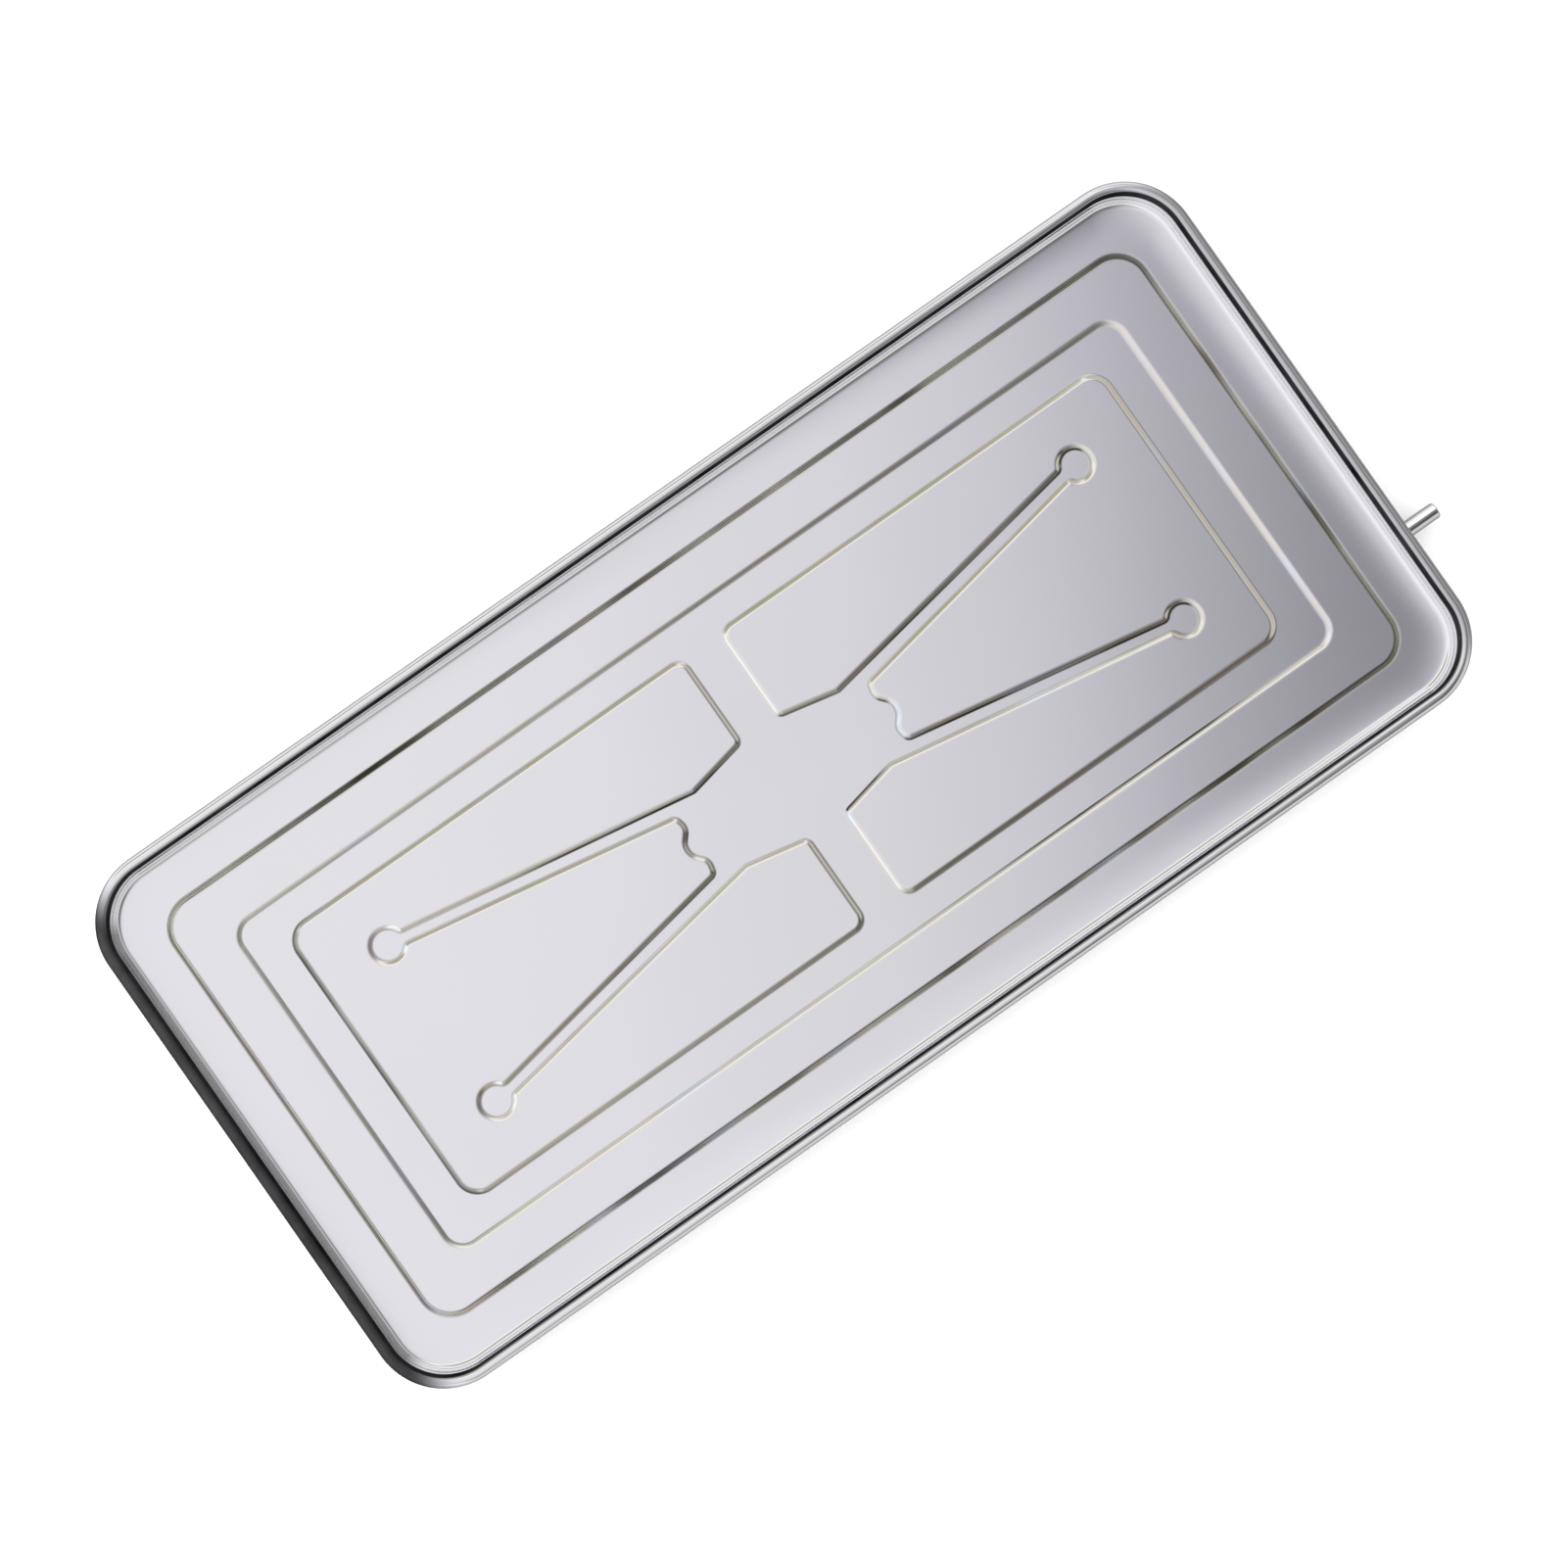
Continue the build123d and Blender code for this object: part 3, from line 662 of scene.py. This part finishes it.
class SheetMesh:
    """Vertices in metres, faces, and the two shading values of each vertex."""

    def __init__(self):
        self.verts, self.faces, self.crevice, self.press = [], [], [], []

    def vert(self, x, y, z, crevice, press):
        self.verts.append((x * MM, y * MM, z * MM))
        self.crevice.append(crevice)
        self.press.append(press)
        return len(self.verts) - 1

    def polygon(self, loop):
        """Plan view of a loop of vertex indices, in millimetres."""
        return [(self.verts[i][0] / MM, self.verts[i][1] / MM) for i in loop]

    def strip(self, a, b):
        n = len(a)
        for k in range(n):
            self.faces.append([a[k], a[(k + 1) % n], b[(k + 1) % n], b[k]])

    def fill(self, loops, keep, flip):
        """Flat triangulation between loops, where keep(x, y) is true."""
        ids = [i for loop in loops for i in loop]
        coords = [Vector(point) for point in self.polygon(ids)]
        edges, base = [], 0
        for loop in loops:
            n = len(loop)
            edges += [(base + k, base + (k + 1) % n) for k in range(n)]
            base += n
        points, _, triangles, origin, _, _ = delaunay_2d_cdt(coords, edges, [], 0, 1e-6)
        triangles = np.array([list(face) for face in triangles])
        middle = np.array([(p.x, p.y) for p in points])[triangles].mean(axis=1)
        for triangle in triangles[keep(middle[:, 0], middle[:, 1])]:
            face = [ids[origin[k][0]] for k in triangle]
            a, b, c = (self.verts[i] for i in face)
            area = (b[0] - a[0]) * (c[1] - a[1]) - (b[1] - a[1]) * (c[0] - a[0])
            if abs(area) < 1e-14:
                continue
            if (area < 0) != flip:
                face.reverse()
            self.faces.append(face)


def mesh_object(name, verts, faces, material, smooth_faces=True):
    mesh = bpy.data.meshes.new(name)
    mesh.from_pydata(verts, [], faces)
    mesh.validate(verbose=False)
    mesh.update()
    if smooth_faces:
        mesh.polygons.foreach_set("use_smooth", [True] * len(mesh.polygons))
    ob = bpy.data.objects.new(name, mesh)
    bpy.context.scene.collection.objects.link(ob)
    mesh.materials.append(material)
    return ob


# ---------------------------------------------------------------------------
# The pan
# ---------------------------------------------------------------------------


def ring_crevice(row, x, y):
    """Painted shade of a ring's vertex, varied along the ring."""
    half_x, _, _, z, crevice, press = row
    painted_rim_shade = 0.0
    if z > BEAD_Z - 0.2 and half_x > HALF_X - 2 * BEAD_R:
        # Painted shade on the rim along the -X short side, and faintly along +X.
        painted_rim_shade = 0.96 * ease_out(x, -(HALF_X - 12.0), 9.0) + 0.35 * ease_in(x, HALF_X - 8.0, 6.0)
    amount = 1.0
    if abs(half_x - STEP_LINE[0]) < STEP_HALF + 0.1:
        # Step line: more painted shade at -X, less at +X, more on the +X part of the -Y side.
        amount = 1.0 + 0.6 * ease_out(x, -112.0, 10.0) - 0.75 * ease_in(x, 116.0, 6.0)
        if y < -STEP_LINE[1] + 3.0:
            amount *= 1.0 + 1.4 * ease_in(x, -10.0, 60.0) * ease_out(x, 105.0, 16.0)
    elif press > 0:
        # Groove line: the painted shade thins out towards -X.
        amount = 1.0 - 0.58 * ease_out(x, -118.0, 18.0)
    return max(crevice * amount, painted_rim_shade)


def foot_painted_shade(x, y, normal_x, normal_y):
    """Amount of painted shade at the foot of a plateau's edge."""
    # More under edges that face -Y near the cross.
    near_cross = ease_in(x, -75.0, 30.0) * ease_out(abs(y), 34.0, 6.0)
    amount = 1.0 + 1.5 * ease_out(normal_y, -0.3, 0.4) * near_cross
    # More along the chamfer on the +X, -Y side of the cross.
    if 8.0 < x < 21.0 and -15.0 < y < -9.5 and normal_y > 0.3:
        amount += 1.3
    # Less at the +X end, more at the -X end.
    amount *= 1.0 - 0.75 * ease_in(x, 108.0, 4.0) + 1.2 * ease_out(x, -106.0, 6.0)
    # Less along the gap between the plateaus.
    in_gap = ease_out(abs(x - 2.0), 9.5, 2.5) * ease_in(abs(normal_x), 0.6, 0.3)
    return amount * (1.0 - 0.8 * in_gap)


def face_painted_shade(x, normal_x):
    """Painted shade over the whole face of the edge at the -X end."""
    return ease_out(x, -100.0, 6.0) * ease_out(normal_x, -0.3, 0.4)


def plateau_steps():
    """Rows across a plateau's edge: outward offset, height, press, painted shade at the foot,
    painted shade on the face.
    """
    rows = [(PLATEAU_HALF + PLATEAU_FLAT, 0.0, 0.0, 0.0, 0.0)]
    for k in range(STEP_STEPS + 1):
        t = k / STEP_STEPS
        foot, press = step_shades(t)
        face = 0.6 * ease_in(t, 0.3, 0.2) * ease_out(t, 1.0, 0.3)
        rows.append((PLATEAU_HALF - 2 * PLATEAU_HALF * t, PLATEAU_Z * smooth(t), press, foot, face))
    rows.append((-PLATEAU_HALF - PLATEAU_FLAT, PLATEAU_Z, 0.0, 0.0, 0.0))
    return rows


def plateau_sides():
    """(point, outward normal) pairs of the +X plateau and of its mirror image."""
    points, normals = plateau_path()
    right = list(zip(points, normals))
    left = [((-x, y), (-nx, ny)) for (x, y), (nx, ny) in reversed(right)]
    return [
        [((x + CENTRE_SHIFT * (1 - abs(x) / PLATEAU_LINE[0]), y), n) for (x, y), n in side]
        for side in (right, left)
    ]


def build_pan(material):
    sheet = SheetMesh()
    rings = []
    for row in pan_profile():
        half_x, half_y, radius, z, _, press = row
        rings.append([
            sheet.vert(x, y, z, ring_crevice(row, x, y), press)
            for x, y in rounded_ring(half_x, half_y, radius)
        ])
    for inner_ring, outer_ring in zip(rings, rings[1:]):
        sheet.strip(outer_ring, inner_ring)

    deck = sheet.polygon(rings[0])
    steps, sides = plateau_steps(), plateau_sides()
    # Top and underside of the deck with its plateaus.
    for level, ring, flip in ((0.0, rings[0], False), (-SHEET, rings[-1], True)):
        feet = []
        for side in sides:
            strips = []
            for offset, z, press, foot, face in steps:
                strip = []
                for p, n in side:
                    crevice = 0.0
                    # Painted shade at the foot and on the face of the edges, on the top side only.
                    if not flip:
                        crevice = foot * foot_painted_shade(*p, *n) + face * face_painted_shade(p[0], n[0])
                    x, y = p[0] + n[0] * offset, p[1] + n[1] * offset
                    strip.append(sheet.vert(x, y, z + level, crevice, press))
                strips.append(strip)
            for lower, upper in zip(strips, strips[1:]):
                if flip:
                    sheet.strip(upper, lower)
                else:
                    sheet.strip(lower, upper)
            feet.append(strips[0])
            top = sheet.polygon(strips[-1])
            sheet.fill([strips[-1]], lambda x, y: inside(top, x, y), flip)
        right, left = (sheet.polygon(loop) for loop in feet)
        sheet.fill(
            [ring] + feet,
            lambda x, y: inside(deck, x, y) & ~inside(right, x, y) & ~inside(left, x, y),
            flip,
        )

    ob = mesh_object("tray_pan_sheet", sheet.verts, sheet.faces, material)
    # The painted shade and press masks go onto the mesh as point attributes.
    for key, values in (("crevice", sheet.crevice), ("press", sheet.press)):
        attribute = ob.data.attributes.new(key, "FLOAT", "POINT")
        attribute.data.foreach_set("value", np.array(values, np.float32))
    return ob


# ---------------------------------------------------------------------------
# The pan, and the materials of the CAD pieces that stay
# ---------------------------------------------------------------------------
PAN_STEEL = polished_pan()
SPATULA_STEEL = drawn_steel("spatula_stainless", tone=(0.90, 0.90, 0.91), rough=0.08, axis="x")
WIRE_STEEL = drawn_steel("wire_steel", tone=grey(0.6), rough=0.3, axis="x")
SPRING_STEEL = drawn_steel("spring_steel", tone=(0.50, 0.51, 0.53), rough=0.28, axis="y")
FASTENER_STEEL = drawn_steel(
    "fastener_steel", tone=(0.66, 0.65, 0.63), rough=0.26, axis="z", scale=0.6
)
RUBBER = rubber()
ACETAL = acetal()

BY_NAME = {
    "blade_pins": SPATULA_STEEL,
    "handle_guide": ACETAL,
    "blade_guide": ACETAL,
    "retaining_spring": SPRING_STEEL,
    "rim_wire": WIRE_STEEL,
}

pan = build_pan(PAN_STEEL)
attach(pan, "tray")
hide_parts("tray_pan")


def material_for(name):
    if name.startswith("spatula"):
        return SPATULA_STEEL
    if name.startswith("foot_") and not any(key in name for key in ("stud", "washer", "nut")):
        return RUBBER
    return BY_NAME.get(name, FASTENER_STEEL)


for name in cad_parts:
    if name != "tray_pan":
        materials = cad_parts[name].data.materials
        materials.clear()
        materials.append(material_for(name))

# ---------------------------------------------------------------------------
# Studio: floor, world, panel, lights, camera
# ---------------------------------------------------------------------------
FLOOR_HALF = 4.0
FLOOR_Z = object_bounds()[0].z - 0.00002  # just clear of the feet
PANEL_HALF, PANEL_Z = 0.80, 0.45
GRID_STEPS = 8


def square_grid(name, half, z, material, faces_down=False, smooth_faces=True):
    n = GRID_STEPS
    ticks = [half * (2 * i / n - 1) for i in range(n + 1)]
    faces = []
    for i in range(n):
        for j in range(n):
            a = i * (n + 1) + j
            face = [a, a + n + 1, a + n + 2, a + 1]
            faces.append([face[k] for k in (0, 3, 2, 1)] if faces_down else face)
    verts = [(x, y, z) for x in ticks for y in ticks]
    return mesh_object(name, verts, faces, material, smooth_faces)


square_grid("studio_floor", FLOOR_HALF, FLOOR_Z, floor_material())


def build_world():
    """Even white for camera and diffuse rays. Reflections see a grey room that darkens
    towards the horizon and is lighter towards +Y, -Y and -X."""
    world = bpy.data.worlds.new("studio")
    bpy.context.scene.world = world
    m = Graph(world)
    out = m.node("ShaderNodeOutputWorld")
    background = m.node("ShaderNodeBackground")
    m.link(background.outputs[0], out.inputs["Surface"])
    direction = m.node("ShaderNodeVectorMath", operation="NORMALIZE")
    m.link(m.node("ShaderNodeTexCoord").outputs["Generated"], direction.inputs[0])
    x, y, z = m.separate(direction.outputs[0])
    glossy = m.ramp(z, [
        (0.0, (0.22, 0.215, 0.21)),
        (0.3, (0.30, 0.295, 0.29)),
        (0.5, (0.36, 0.355, 0.35)),
        (0.9, grey(0.8)),
    ])
    # Axis, range over which the level takes over, level. The last is below the horizon.
    for axis, source, level in (
        (y, (0.25, 0.6), 0.92),
        (y, (-0.35, -0.65), 0.72),
        (x, (-0.45, -0.75), 0.90),
    ):
        glossy = m.mix(m.remap(axis, source), glossy, grey(level))
    glossy = m.mix(m.remap(z, (-0.02, 0.0), to=(1.0, 0.0)), glossy, grey(0.9))
    path = m.node("ShaderNodeLightPath").outputs
    direct = m.math("MAXIMUM", path["Is Diffuse Ray"], path["Is Camera Ray"])
    m.link(m.mix(direct, glossy, grey(1.45)), background.inputs["Color"])
    background.inputs["Strength"].default_value = 1.0


build_world()

# Brightness of the panel: (place in metres, level).
# Core, along the slanted line x - PANEL_SLANT * y.
PANEL_SLANT = 0.53
CORE_LEVELS = [
    (-0.40, 0.86), (-0.15, 0.835), (-0.067, 0.815), (-0.02, 0.765), (0.04, 0.745), (0.07, 0.70),
    (0.116, 0.64), (0.136, 0.585), (0.154, 0.54), (0.168, 0.49), (0.190, 0.43), (0.208, 0.39),
    (0.230, 0.34), (0.249, 0.305), (0.30, 0.24), (0.40, 0.16),
]
# Outer parts towards -X and +X, along x.
LEFT_LEVELS = [(-0.80, 0.84), (-0.61, 0.90), (-0.53, 1.0), (-0.40, 1.2), (-0.30, 0.95)]
RIGHT_LEVELS = [
    (0.30, 0.24), (0.36, 0.42), (0.44, 0.58), (0.60, 0.60), (0.66, 0.60), (0.80, 0.5),
]


def panel_material():
    """Emission laid out over the panel in zones that blend softly."""
    material = bpy.data.materials.new("diffusing_panel")
    m = Graph(material)
    out = m.node("ShaderNodeOutputMaterial")
    emission = m.node("ShaderNodeEmission")
    m.link(emission.outputs[0], out.inputs["Surface"])
    x, y, _ = m.separate(m.node("ShaderNodeNewGeometry").outputs["Position"])

    def levels(value, low, high, stops):
        places = [((place - low) / (high - low), grey(level)) for place, level in stops]
        return m.ramp(m.remap(value, (low, high)), places)

    def soft(value, start, end):
        return m.remap(value, (start, end), kind="SMOOTHSTEP")

    # Core, cooler towards +X.
    slanted = m.math("SUBTRACT", x, m.mul(y, PANEL_SLANT))
    light = levels(slanted, -0.40, 0.45, CORE_LEVELS)
    cool = m.mix(soft(slanted, 0.04, 0.2), (1.0, 0.993, 1.025), (0.995, 0.985, 1.07))
    light = m.mix(1.0, light, cool, "MULTIPLY")

    # Two bands towards +Y.
    band = m.mix(soft(x, -0.02, 0.2), grey(1.0), (0.98, 0.98, 0.97))
    light = m.mix(soft(y, 0.155, 0.26), light, band)
    band = m.mix(soft(x, 0.16, 0.30), (0.46, 0.45, 0.37), (0.95, 0.95, 0.93))
    light = m.mix(soft(y, 0.31, 0.45), light, band)

    # Three bands towards -Y.
    down = m.mul(y, -1.0)
    band = m.mix(soft(x, -0.16, 0.12), (0.66, 0.65, 0.65), (0.28, 0.27, 0.27))
    band = m.mix(soft(x, 0.20, 0.27), band, grey(0.06))
    light = m.mix(soft(down, 0.14, 0.27), light, band)
    band = m.mix(soft(x, -0.16, 0.08), (0.46, 0.44, 0.41), (0.13, 0.118, 0.105))
    light = m.mix(soft(down, 0.31, 0.42), light, band)
    light = m.mix(soft(down, 0.52, 0.66), light, (0.45, 0.44, 0.43))

    # Cool -X part and warm +X part.
    left = levels(x, -0.80, -0.30, LEFT_LEVELS)
    left = m.mix(1.0, left, (0.94, 1.0, 1.06), "MULTIPLY")
    light = m.mix(soft(m.mul(x, -1.0), 0.28, 0.44), light, left)
    right = levels(x, 0.30, 0.80, RIGHT_LEVELS)
    right = m.mix(1.0, right, (1.0, 0.97, 0.92), "MULTIPLY")
    light = m.mix(soft(x, 0.30, 0.44), light, right)

    m.link(light, emission.inputs["Color"])
    emission.inputs["Strength"].default_value = 1.0
    material.cycles.emission_sampling = "NONE"
    return material


def build_panel():
    """A large diffusing panel over the tray that only reflections see."""
    ob = square_grid(
        "diffusing_panel", PANEL_HALF, PANEL_Z, panel_material(),
        faces_down=True, smooth_faces=False,
    )
    ob.visible_camera = False
    ob.visible_diffuse = False
    ob.visible_shadow = False
    ob.visible_transmission = False
    return ob


build_panel()


def area_light(name, location, target, size, power, glossy):
    data = bpy.data.lights.new(name, "AREA")
    data.shape = "RECTANGLE"
    data.size, data.size_y = size
    data.energy = power
    ob = bpy.data.objects.new(name, data)
    bpy.context.scene.collection.objects.link(ob)
    ob.location = location
    direction = Vector(target) - Vector(location)
    ob.rotation_euler = direction.to_track_quat("-Z", "Y").to_euler()
    ob.visible_glossy = glossy
    return ob


area_light(
    "soft_key", location=(-0.55, 0.45, 0.95), target=(0, 0, 0),
    size=(0.9, 0.9), power=6.0, glossy=False,
)

# A long soft strip that lights the spatula's handle only.
rod_strip = area_light(
    "rod_strip", location=(0.25, 0.33, 0.40), target=(0.25, 0.33, 0.0),
    size=(0.16, 0.60), power=0.24, glossy=True,
)
rod_only = bpy.data.collections.new("rod_only")
rod_only.objects.link(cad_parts["spatula_handle"])
rod_strip.light_linking.receiver_collection = rod_only

# Camera: almost overhead, turned about Z so that the tray lies at a slant.
CAMERA_MM = (-27.23, -12.06, 851.4)
CAMERA_TILT = Vector((0.01411, -0.03128, 0.0))  # axis times angle, radians
CAMERA_TURN = -0.61113  # about Z, radians


def build_camera():
    data = bpy.data.cameras.new("camera")
    data.lens = 85.0
    data.sensor_width = 36.0
    data.clip_start = 0.01
    data.clip_end = 50.0
    camera = bpy.data.objects.new("camera", data)
    bpy.context.scene.collection.objects.link(camera)
    tilt = Matrix.Rotation(CAMERA_TILT.length, 3, CAMERA_TILT.normalized())
    turn = tilt @ Matrix.Rotation(CAMERA_TURN, 3, "Z")
    camera.matrix_world = Matrix.Translation(Vector(CAMERA_MM) * MM) @ turn.to_4x4()
    bpy.context.scene.camera = camera


build_camera()

view = bpy.context.scene.view_settings
view.view_transform = "Standard"
view.look = "None"
